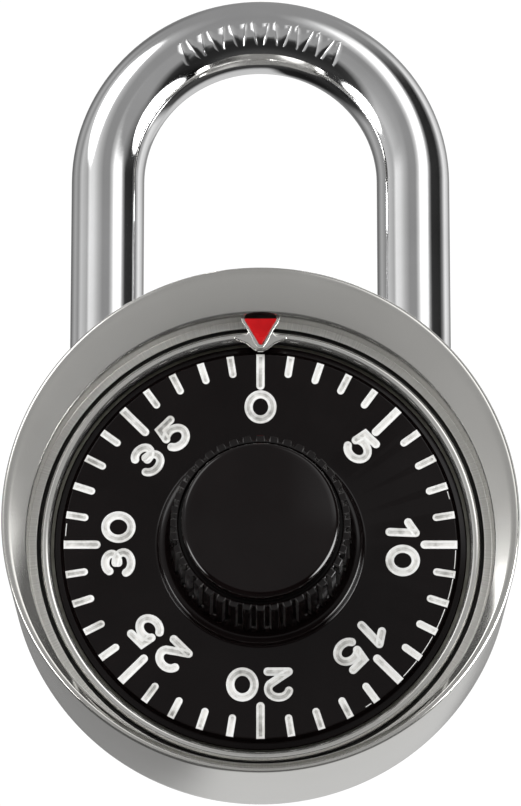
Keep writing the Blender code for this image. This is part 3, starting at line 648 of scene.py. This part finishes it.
def back_cover():
    """Rear cover: flat field, shallow pressed ring and a stepped flange under the rolled edge."""
    face = COVER_HIGH.y
    flange_y = face - ROLL - GAP
    pressed_y = face - 0.16
    field = [(0, face), (14.6, face), (15.0, pressed_y), (15.8, pressed_y), (16.2, face)]
    edge = [(COVER_R - 0.3, face), (COVER_R, face - 0.25), (COVER_R, flange_y),
            (FLANGE_R, flange_y), (FLANGE_R, flange_y - SHEET)]
    back = [(COVER_R - SHEET, flange_y - SHEET), (COVER_R - SHEET, face - SHEET),
            (0, face - SHEET)]
    cover = turned("back_cover_skin", field + edge + back, centre_z=CASE_Z)
    finish(cover, SHELL_METAL, "case", "shell_stainless", "back_cover")


# ---- engraved strokes ---------------------------------------------------------------------
def path_sides(path, closed):
    """Sideways steps along a path, one for each point, that keep a stroke's width in its bends."""
    sides = []
    last = len(path) - 1
    widest = 2.0
    for i, point in enumerate(path):
        pairs = []
        if closed or i > 0:
            pairs.append((path[i - 1], point))
        if closed or i < last:
            pairs.append((point, path[(i + 1) % len(path)]))
        normals = [((a[1] - b[1]) / dist(a, b), (b[0] - a[0]) / dist(a, b)) for a, b in pairs]
        nx = sum(n[0] for n in normals) / len(normals)
        nz = sum(n[1] for n in normals) / len(normals)
        scale = min(1 / (nx * nx + nz * nz), widest)
        sides.append((nx * scale, nz * scale))
    return sides


def offset_outline(path, half, closed=False, square_start=False):
    """Outline of a stroke of the given half width along a path, with round ends.

    A closed path gives (outer, inner).  The point count doesn't depend on half, so outlines of
    different half widths can be bridged.
    """
    end_steps = 8
    sides = path_sides(path, closed)
    left = [(p[0] + s[0] * half, p[1] + s[1] * half) for p, s in zip(path, sides)]
    right = [(p[0] - s[0] * half, p[1] - s[1] * half) for p, s in zip(path, sides)]
    if closed:
        return left, right
    ends = []
    for point, side, way, square in ((path[-1], sides[-1], 1, False),
                                     (path[0], sides[0], -1, square_start)):
        start = atan2(-side[1] * way, -side[0] * way)
        end = []
        for k in range(1, end_steps):
            a = start + pi * k / end_steps
            stretch = 1 / max(abs(cos(a - start)), abs(sin(a - start))) if square else 1.0
            end.append((point[0] + half * stretch * cos(a), point[1] + half * stretch * sin(a)))
        ends.append(end)
    return right + ends[0] + left[::-1] + ends[1]


def stroke_solid(work, path, half, levels, closed=False, square_start=False):
    """A closed solid along a stroke through its levels, each (share of the half width, y)."""
    layers = []
    for share, y in levels:
        outlines = offset_outline(path, half * share, closed, square_start)
        layers.append([[work.verts.new((x * MM, y * MM, z * MM)) for x, z in outline]
                       for outline in (outlines if closed else [outlines])])
    for low, high in zip(layers, layers[1:]):
        for a, b in zip(low, high):
            bridge(work, a, b)
    for layer in (layers[0], layers[-1]):
        if closed:
            bridge(work, *layer)
        else:
            work.faces.new(layer[0])


def digit_paths(digit):
    """Centre lines of a digit as (points, closed), one unit high and centred on (0, 0)."""
    if digit == "0":
        return [(oval((0.0, 0.0), 0.46, 0.5, 0, 360, 40)[:-1], True)]
    if digit == "1":
        return [([(0.16, 0.5), (0.12, -0.5)], False), ([(0.16, 0.5), (-0.26, 0.22)], False)]
    if digit == "2":
        head = oval((0.0, 0.17), 0.40, 0.33, 168, -32, 18)
        return [(head + [(-0.02, -0.26), (-0.38, -0.5)], False),
                ([(-0.38, -0.5), (0.42, -0.5)], False)]
    if digit == "3":
        return [(oval((-0.02, 0.25), 0.35, 0.25, 160, -90, 16), False),
                (oval((-0.02, -0.20), 0.41, 0.30, 90, -160, 18), False)]
    return [([(0.34, 0.5), (-0.24, 0.5), (-0.32, 0.06)], False),
            (oval((-0.01, -0.15), 0.42, 0.35, 138, -155, 22), False)]


def turned_point(point, angle, radius):
    """A point of a number's own plane placed on the dial at a clock angle in degrees."""
    a = radians(angle)
    x, z = point[0], point[1] + radius
    return (x * cos(a) + z * sin(a), z * cos(a) - x * sin(a))


def graduation_strokes():
    """Every tick as (path, half width, closed, square start) in the dial's plane."""
    strokes = []
    for i in range(DIVISIONS):
        major = i % 5 == 0
        length = MAJOR_LENGTH if major else TICK_LENGTH
        half = (STROKE if major else TICK) / 2
        inner = FACE_R - length + half
        path = [(0.0, FACE_R + 0.02 - half), (0.0, (FACE_R + inner) / 2), (0.0, inner)]
        path = [turned_point(p, 360 * i / DIVISIONS, 0.0) for p in path]
        strokes.append((path, half, False, True))
    return strokes


def edge_paint():
    """Thin white traces on the face's edge between ticks, on the lower right."""
    work = bmesh.new()
    levels = [(0.3, FACE_Y - 0.02), (1.0, FACE_Y - 0.008), (1.0, FACE_Y + 0.06)]
    trace_r, trace_half, steps = FACE_R - 0.13, 0.035, 8
    pitch = 360 / DIVISIONS
    for i, (start, end) in EDGE_TRACES:
        shares = [start + (end - start) * k / steps for k in range(steps + 1)]
        path = [turned_point((0.0, trace_r), pitch * (i + share), 0.0) for share in shares]
        stroke_solid(work, path, trace_half, levels)
    traces = new_mesh_object("edge_paint", work)
    finish(smooth(traces), PAINT, "dial", "dial_black")


def number_strokes():
    """Every digit of the numbers 0 to 35, tops facing outwards."""
    strokes = []
    for number in range(0, DIVISIONS, 5):
        text = str(number)
        advance = ADVANCE_WITH_1 if "1" in text else ADVANCE
        for k, digit in enumerate(text):
            shift = (k - (len(text) - 1) / 2) * advance
            for path, closed in digit_paths(digit):
                placed = [turned_point((x * DIGIT_H + shift, z * DIGIT_H),
                                       360 * number / DIVISIONS, DIGIT_R) for x, z in path]
                strokes.append((placed, STROKE / 2, closed, False))
    return strokes


def engraving(name, strokes, levels, extra=0.0):
    """One solid for each stroke, extra wider on either side."""
    work = bmesh.new()
    for path, half, closed, square in strokes:
        stroke_solid(work, path, half + extra, levels, closed, square)
    return new_mesh_object(name, work)


def groove_tool(strokes):
    """Slightly wider than the paint and open at the front, so that it cuts cleanly."""
    levels = [(1.0, FACE_Y - 0.4), (1.0, FACE_Y + ENGRAVED)]
    return engraving("groove_tool", strokes, levels, 0.02)


def paint_piece(name, strokes):
    """Paint that has sunk in the middle of each stroke, where it is thin."""
    bottom = FACE_Y + ENGRAVED + 0.03
    levels = [(share, bottom - height) for share, height in PAINT_SECTION]
    piece = smooth(engraving(name, strokes, levels), 60)
    piece.data.materials.append(PAINT)
    piece.data.materials.append(THIN_PAINT)
    thin_y = (bottom - THIN_HEIGHT) * MM
    for face in piece.data.polygons:
        face.material_index = 1 if face.center.y > thin_y and face.normal.y < -0.5 else 0
    finish(piece, PAINT, "dial", "dial_black")


# ---- dial and knob ------------------------------------------------------------------------
def dial_body():
    """Dial flange with its raised face, the knob's foot ring and the seat for the cap."""
    flange = [(DIAL_R, DIAL_BACK_Y, 0.1), (DIAL_R, FACE_Y + 0.72, 0.12),
              (FACE_R + 0.32, FACE_Y + 0.62, 0.1), (FACE_R, FACE_Y, 0.1)]
    foot = [(KNOB_BASE_R + 0.1, FACE_Y, 0.25), (KNOB_BASE_R, FACE_Y - 0.75, 0.34),
            (KNOB_BASE_R - 0.62, FACE_Y - 0.98, 0.2), (KNOB_BASE_R - 1.4, FACE_Y - 0.55, 0.2)]
    core = [(SEAT_R + 0.2, FACE_Y - 0.55, 0.1), (SEAT_R + 0.1, SEAT_Y, 0.0), (WELL_R, SEAT_Y, 0.0),
            (WELL_R, WELL_Y, 0.0), (BORE_R, WELL_Y, 0.0), (BORE_R, BORE_END_Y, 0.0)]
    hollow = [(HUB_R, BORE_END_Y, 0.0), (HUB_R, KNOB_HOLLOW_Y, 0.0),
              (KNOB_HOLLOW_R, KNOB_HOLLOW_Y, 0.0), (KNOB_HOLLOW_R, DIAL_BACK_Y, 0.1)]
    corners = [(0.0, *corner) for corner in flange + foot + core + hollow]
    body = lofted("dial_body", filleted(corners), DIAL_FACETS)
    strokes = graduation_strokes() + number_strokes()
    apply_boolean(body, groove_tool(strokes), overlaps=True)
    smooth(body)
    finish(body, BLACK, "dial", "dial_black", "dial")
    paint_piece("graduation_paint", graduation_strokes())
    paint_piece("number_paint", number_strokes())
    edge_paint()


def groove_phase(angle):
    """0 in the middle of a groove between two ribs, 1 in the middle of a rib."""
    return abs(2 * ((angle * RIBS / (2 * pi)) % 1.0) - 1)


def grip_radius(radius, y, angle):
    """Ribbed outline of the grip: flat ribs between round grooves that run out in its foot."""
    foot = FACE_Y - 0.9
    along = (y - foot) / (GRIP_TOP_Y - foot)
    if radius < RIB_FLOOR_R or along < 0:
        return radius
    floor, edge = GROOVE_PHASES
    rise = min(1.0, max(0.0, (groove_phase(angle) - floor) / (edge - floor)))
    run_out = min(1.0, along / 0.05)
    depth = RIB_DEPTH * (1 - rise * rise * (3 - 2 * rise)) * run_out
    return max(radius - depth, RIB_FLOOR_R)


def knob_grip():
    """Hollow ribbed grip with a plain shoulder around the cap and rib edges that are worn and carry
    a painted highlight.
    """
    foot, top = FACE_Y - 0.62, GRIP_TOP_Y
    ribs_y = foot - 0.3
    taper = 0.25
    steps = 14
    outer = [(0.0, GRIP_R + 0.12, foot)]
    for i in range(steps + 1):
        share = i / steps
        outer.append((0.0, GRIP_R + 0.1 - taper * share, ribs_y + (top - ribs_y) * share))
    shoulder = [(0.0, GRIP_R - 0.18, top - 0.04), (0.0, GRIP_R - 0.30, top - 0.05),
                (0.0, SEAT_R + 0.16, top - 0.05), (0.0, SEAT_R + 0.06, top - 0.02),
                (0.0, SEAT_R, top + 0.08), (0.0, SEAT_R, SEAT_Y - 0.1),
                (0.0, SEAT_R + 0.12, SEAT_Y - 0.05), (0.0, RIB_FLOOR_R, foot)]
    grip = lofted("knob_grip", outer + shoulder, GRIP_FACETS, grip_radius)
    grip.data.materials.append(BLACK_GRIP)
    grip.data.materials.append(WORN_AND_HIGHLIT_GRIP)
    # Rib walls above the foot take the lighter grey: wear and painted highlight.
    for face in grip.data.polygons:
        x, y, z = face.center / MM
        wall = WORN_AND_HIGHLIT_PHASES[0] < groove_phase(atan2(x, z)) < WORN_AND_HIGHLIT_PHASES[1]
        if wall and hypot(x, z) > RIB_FLOOR_R and y < FACE_Y - 1.4:
            face.material_index = 1
    finish(grip, BLACK_GRIP, "dial", "dial_black")


def knob_cap():
    """Domed glossy cap with a rolled edge."""
    base, apex = CAP_HIGH.y, CAP_LOW.y
    edge_r, sag = 0.55, 0.45
    crown_r = CAP_R - edge_r
    roll_end = 81
    side_y = apex + sag + edge_r * sin(radians(roll_end))
    edge = [(crown_r + edge_r * cos(radians(a)), side_y - edge_r * sin(radians(a)))
            for a in range(0, roll_end + 1, 9)]
    dome_r = edge[-1][0]
    dome = [(dome_r * share, apex + sag * share ** 2) for share in (0.95, 0.8, 0.6, 0.4, 0.2)]
    profile = [(0, base), (CAP_R, base)] + edge + dome + [(0, apex)]
    cap = smooth(turned("knob_cap_skin", profile, CAP_FACETS), 60)
    finish(cap, BLACK_CAP, "dial", "dial_black", "knob_cap")


# ---- shackle ------------------------------------------------------------------------------
def shackle_path():
    """Centre line of the rod: toe leg up, round the bow, heel leg down."""
    toe_steps, bow_steps, heel_steps = 10, 64, 14
    points = [(-LEG_X, TOE_END_Z + (BOW_Z - TOE_END_Z) * i / toe_steps) for i in range(toe_steps)]
    points += arc((0.0, BOW_Z), LEG_X, 180, 0, bow_steps)
    points += [(LEG_X, BOW_Z + (HEEL_END_Z - BOW_Z) * i / heel_steps)
               for i in range(1, heel_steps + 1)]
    return points


def swept_rod(name, path, radius, chamfer=0.5):
    """A round rod along a path in the XZ plane, with chamfered ends."""
    work = bmesh.new()
    loops = []
    last = len(path) - 1
    for i, (x, z) in enumerate(path):
        a, b = path[max(i - 1, 0)], path[min(i + 1, last)]
        tx, tz = (b[0] - a[0]) / dist(a, b), (b[1] - a[1]) / dist(a, b)
        sections = [(0.0, radius)]
        if i == 0:
            sections = [(0.0, radius - chamfer), (chamfer, radius)]
        elif i == last:
            sections = [(-chamfer, radius), (0.0, radius - chamfer)]
        for along, reach in sections:
            loop = []
            for k in range(ROD_FACETS):
                angle = 2 * pi * k / ROD_FACETS
                side = reach * cos(angle)
                point = (x + tx * along + tz * side, LEG_Y + reach * sin(angle),
                         z + tz * along - tx * side)
                loop.append(work.verts.new([value * MM for value in point]))
            loops.append(loop)
    for low, high in zip(loops, loops[1:]):
        bridge(work, low, high)
    work.faces.new(loops[0])
    work.faces.new(loops[-1])
    return new_mesh_object(name, work)


def on_bow(along, around, radius):
    """Place on a ring round the bow's centre line: degrees along the bow, and round the rod."""
    reach = LEG_X - radius * sin(radians(around))
    return Vector((reach * sin(radians(along)), LEG_Y - radius * cos(radians(around)),
                   BOW_Z + reach * cos(radians(along)))) * MM


def crown_stamps():
    """Generic stamped marks on the front of the bow: leaning V strokes in turn, no lettering."""
    work = bmesh.new()
    steps = 10
    proud = 0.06
    for i in range(STAMPS):
        middle = (i - (STAMPS - 1) / 2) * STAMP_STEP
        lean = STAMP_LEAN if i % 2 else -STAMP_LEAN
        sections = []
        for k in range(steps + 1):
            t = 2 * k / steps - 1
            share = sqrt(1 - 0.9 * t ** 4)    # a stroke fades towards its ends
            depth, half = STAMP_DEPTH * share, STAMP_HALF * share
            wide = degrees(half * (1 + proud / depth) / LEG_X)
            along, around = middle + lean * t, STAMP_TILT + STAMP_REACH * t
            sections.append([work.verts.new(on_bow(along + side * wide, around, ROD_R + rise))
                             for side, rise in ((-1, proud), (0, -depth), (1, proud))])
        for low, high in zip(sections, sections[1:]):
            bridge(work, low, high)
        work.faces.new(sections[0])
        work.faces.new(sections[-1])
    return new_mesh_object("stamp_tool", work)


def toe_notch_tool():
    """Notch for the latch and the taper below it, as on the CAD shackle."""
    floor_x = LATCH_LOW.x - 0.35
    slope_x, open_x = -11.0, -9.0
    ledge_z, below_z = LATCH_LOW.z - GAP, TOE_END_Z - 0.5
    wall_z = LATCH_LOW.z + NOSE_HEIGHT + 0.5
    roof_z = wall_z + 0.7
    outline = [(floor_x, ledge_z), (floor_x + 0.4, below_z), (open_x, below_z),
               (open_x, roof_z), (slope_x, roof_z), (floor_x, wall_z)]
    return prism("notch_tool", outline, LEG_Y - ROD_R - 1, LEG_Y + ROD_R + 1)


def heel_groove_tool():
    """A square ring that cuts the groove for the retaining ring."""
    work = bmesh.new()
    outer_r = ROD_R + 1.5
    loops = []
    for radius, rise in ((GROOVE_R, -GROOVE_HALF), (GROOVE_R, GROOVE_HALF),
                         (outer_r, GROOVE_HALF), (outer_r, -GROOVE_HALF)):
        circle = arc((LEG_X, LEG_Y), radius, 0, 360, ROD_FACETS)[:-1]
        loops.append([work.verts.new((x * MM, y * MM, (RING_Z + rise) * MM)) for x, y in circle])
    for low, high in zip(loops, loops[1:] + loops[:1]):
        bridge(work, low, high)
    return new_mesh_object("groove_ring_tool", work)


def shackle():
    """The rod with its notch, groove and stamped strokes."""
    rod = swept_rod("shackle_rod", shackle_path(), ROD_R)
    for tool in (toe_notch_tool(), heel_groove_tool(), crown_stamps()):
        apply_boolean(rod, tool)
    smooth(rod)
    finish(rod, CHROME, "shackle", "shackle_chrome", "shackle")


# ---- inner parts --------------------------------------------------------------------------
def dress_inner_parts():
    """The CAD's own solids stay for the mechanism; each gets the metal of its slot."""
    for subpart in frame["record"]["subparts"]:
        metal = INNER_METALS.get(subpart["material_slot"])
        if metal:
            mesh = frame["nodes"][subpart["node"]].data
            mesh.materials.clear()
            mesh.materials.append(metal)


# ---- studio -------------------------------------------------------------------------------
# Light banks around the vertical: (degrees right of the camera's side, brightness).
BANKS = ((-180, 0.32), (-150, 0.14), (-122, 0.45), (-104, 0.30), (-90, 0.65), (-66, 0.45),
         (-58, 0.95), (-44, 0.85), (-28, 0.50), (-14, 0.30), (6, 0.30), (15, 0.70), (23, 1.60),
         (42, 1.60), (50, 0.40), (58, 0.03), (90, 0.02), (102, 0.25), (116, 0.95), (134, 0.70),
         (150, 0.30), (180, 0.32))
# The same below eye level, where the bright front bank ends.
LOW_BANKS = ((-180, 0.32), (-150, 0.14), (-122, 0.45), (-104, 0.30), (-90, 0.60), (-66, 0.45),
             (-55, 0.60), (-30, 0.40), (-10, 0.34), (40, 0.34), (55, 0.18), (64, 0.05),
             (90, 0.04), (102, 0.25), (116, 0.90), (134, 0.70), (150, 0.30), (180, 0.32))
# Share of the banks' brightness against height: (sine of the elevation, share).
HEIGHTS = ((-1.0, 0.15), (-0.80, 0.08), (-0.50, 0.06), (-0.36, 0.10), (-0.26, 0.55), (-0.16, 1.0),
           (0.10, 1.0), (0.60, 1.0), (1.0, 0.90))
OVERHEAD, UNDERFOOT = 0.30, 0.06
# Cards that make the glints: (aim, cosine at the outer edge, at the inner edge, brightness).
CARDS = (((0.92, -0.16, -0.30), 0.90, 0.96, 16.0), ((-0.88, -0.20, -0.34), 0.95, 0.98, 8.0),
         ((-0.66, -0.40, 0.63), 0.93, 0.97, 2.5))
BACKDROP = 0.64
# Where soft edges start and end, along an axis of the light's direction.
EYE_LEVEL = (0.15, 0.29)          # z, between the low banks and the others
POLE_EDGE = (0.70, 0.95)          # z, to the levels overhead and underfoot
BACKDROP_EDGES = ((0.55, 0.80), (-0.18, -0.05), (0.06, 0.17))     # y, x and z
SEEN_LIFT = 0.05                  # how much brighter the camera sees the white


def edged(tree, value, low, high, level=1.0):
    """A soft edge: nothing below low, level above high."""
    node = add_node(tree, "ShaderNodeMapRange", interpolation_type="SMOOTHSTEP", From_Min=low,
                    From_Max=high, To_Min=0.0, To_Max=level)
    tree.links.new(value, node.inputs["Value"])
    return node.outputs["Result"]


def studio_light():
    """White surroundings: banks and flags for gloss, even white for the rest."""
    world = bpy.data.worlds.new("studio")
    bpy.context.scene.world = world
    world.use_nodes = True
    tree = world.node_tree
    tree.nodes.clear()
    direction = add_node(tree, "ShaderNodeTexCoord").outputs["Generated"]
    split = add_node(tree, "ShaderNodeSeparateXYZ")
    tree.links.new(direction, split.inputs["Vector"])
    x, y, z = split.outputs
    turn = math_node(tree, "ARCTAN2", x, math_node(tree, "MULTIPLY", y, -1.0))
    share = math_node(tree, "MULTIPLY_ADD", turn, 0.5 / pi, 0.5)
    high, low = [ramp_node(tree, share, [((a + 180) / 360, level) for a, level in banks])
                 for banks in (BANKS, LOW_BANKS)]
    eye_level = edged(tree, z, *EYE_LEVEL)
    banks = math_node(tree, "MULTIPLY_ADD", eye_level, math_node(tree, "SUBTRACT", high, low), low)
    lift = math_node(tree, "MULTIPLY_ADD", z, 0.5, 0.5)
    heights = ramp_node(tree, lift, [((s + 1) / 2, level) for s, level in HEIGHTS])
    glow = math_node(tree, "MULTIPLY", banks, heights)
    for height, level in ((z, OVERHEAD), (math_node(tree, "MULTIPLY", z, -1.0), UNDERFOOT)):
        pole = edged(tree, height, *POLE_EDGE)
        glow = math_node(tree, "MULTIPLY_ADD", pole, math_node(tree, "SUBTRACT", level, glow),
                         glow)
    for aim, outer, inner, brightness in CARDS:
        dot = add_node(tree, "ShaderNodeVectorMath", operation="DOT_PRODUCT")
        tree.links.new(direction, dot.inputs[0])
        dot.inputs[1].default_value = Vector(aim).normalized()
        card = edged(tree, dot.outputs["Value"], outer, inner, brightness)
        glow = math_node(tree, "ADD", glow, card)
    away, aside, under = BACKDROP_EDGES
    behind = edged(tree, y, *away, BACKDROP)
    behind = math_node(tree, "MULTIPLY", behind, edged(tree, x, *aside))
    below = math_node(tree, "SUBTRACT", 1.0, edged(tree, z, *under))
    glow = math_node(tree, "MAXIMUM", glow, math_node(tree, "MULTIPLY", behind, below))
    path = add_node(tree, "ShaderNodeLightPath")
    even = math_node(tree, "MULTIPLY_ADD", path.outputs["Is Camera Ray"], SEEN_LIFT, 1.0)
    mix = add_node(tree, "ShaderNodeMix", data_type="FLOAT")
    tree.links.new(path.outputs["Is Glossy Ray"], mix.inputs["Factor"])
    tree.links.new(even, mix.inputs["A"])
    tree.links.new(glow, mix.inputs["B"])
    background = add_node(tree, "ShaderNodeBackground", Color=(1, 1, 1, 1))
    tree.links.new(mix.outputs["Result"], background.inputs["Strength"])
    output = add_node(tree, "ShaderNodeOutputWorld")
    tree.links.new(background.outputs["Background"], output.inputs["Surface"])


def softbox(name, place, size, power):
    """A soft area light on the painted surfaces, in metres; it leaves no shape in the metal."""
    light = bpy.data.lights.new(name, "AREA")
    light.shape = "DISK"
    light.size = size
    light.energy = power
    lamp = bpy.data.objects.new(name, light)
    lamp.location = place
    lamp.rotation_euler = (-Vector(place)).to_track_quat("-Z", "Y").to_euler()
    lamp.visible_glossy = False
    bpy.context.scene.collection.objects.link(lamp)


def studio_floor():
    """Pale paper under the object, well below it."""
    bpy.ops.mesh.primitive_plane_add(size=3.0, location=(0, 0, FLOOR_Z * MM))
    floor = bpy.context.active_object
    floor.name = "studio_floor"
    floor.data.materials.append(floor_paper())
    floor.visible_glossy = False


def studio_camera():
    """The photographer's place: low in front of the lock, looking up at it."""
    data = bpy.data.cameras.new("camera")
    data.sensor_fit = "VERTICAL"
    data.sensor_height = SENSOR
    data.lens = LENS
    data.clip_start = 0.01
    data.clip_end = 20
    camera = bpy.data.objects.new("camera", data)
    camera.location = Vector((0, RIM_Y - CAMERA_AHEAD, CASE_Z - CAMERA_BELOW)) * MM
    camera.rotation_euler = (radians(90 + CAMERA_PITCH), 0, 0)
    bpy.context.scene.collection.objects.link(camera)
    bpy.context.scene.camera = camera


# ---- assembly -----------------------------------------------------------------------------
case_shell()
pointer()
back_cover()
dial_body()
knob_grip()
knob_cap()
shackle()
dress_inner_parts()
studio_light()
softbox("key_light", place=(-0.5, -0.7, 0.6), size=0.5, power=3.0)
studio_floor()
studio_camera()
bpy.context.scene.view_settings.view_transform = "Standard"
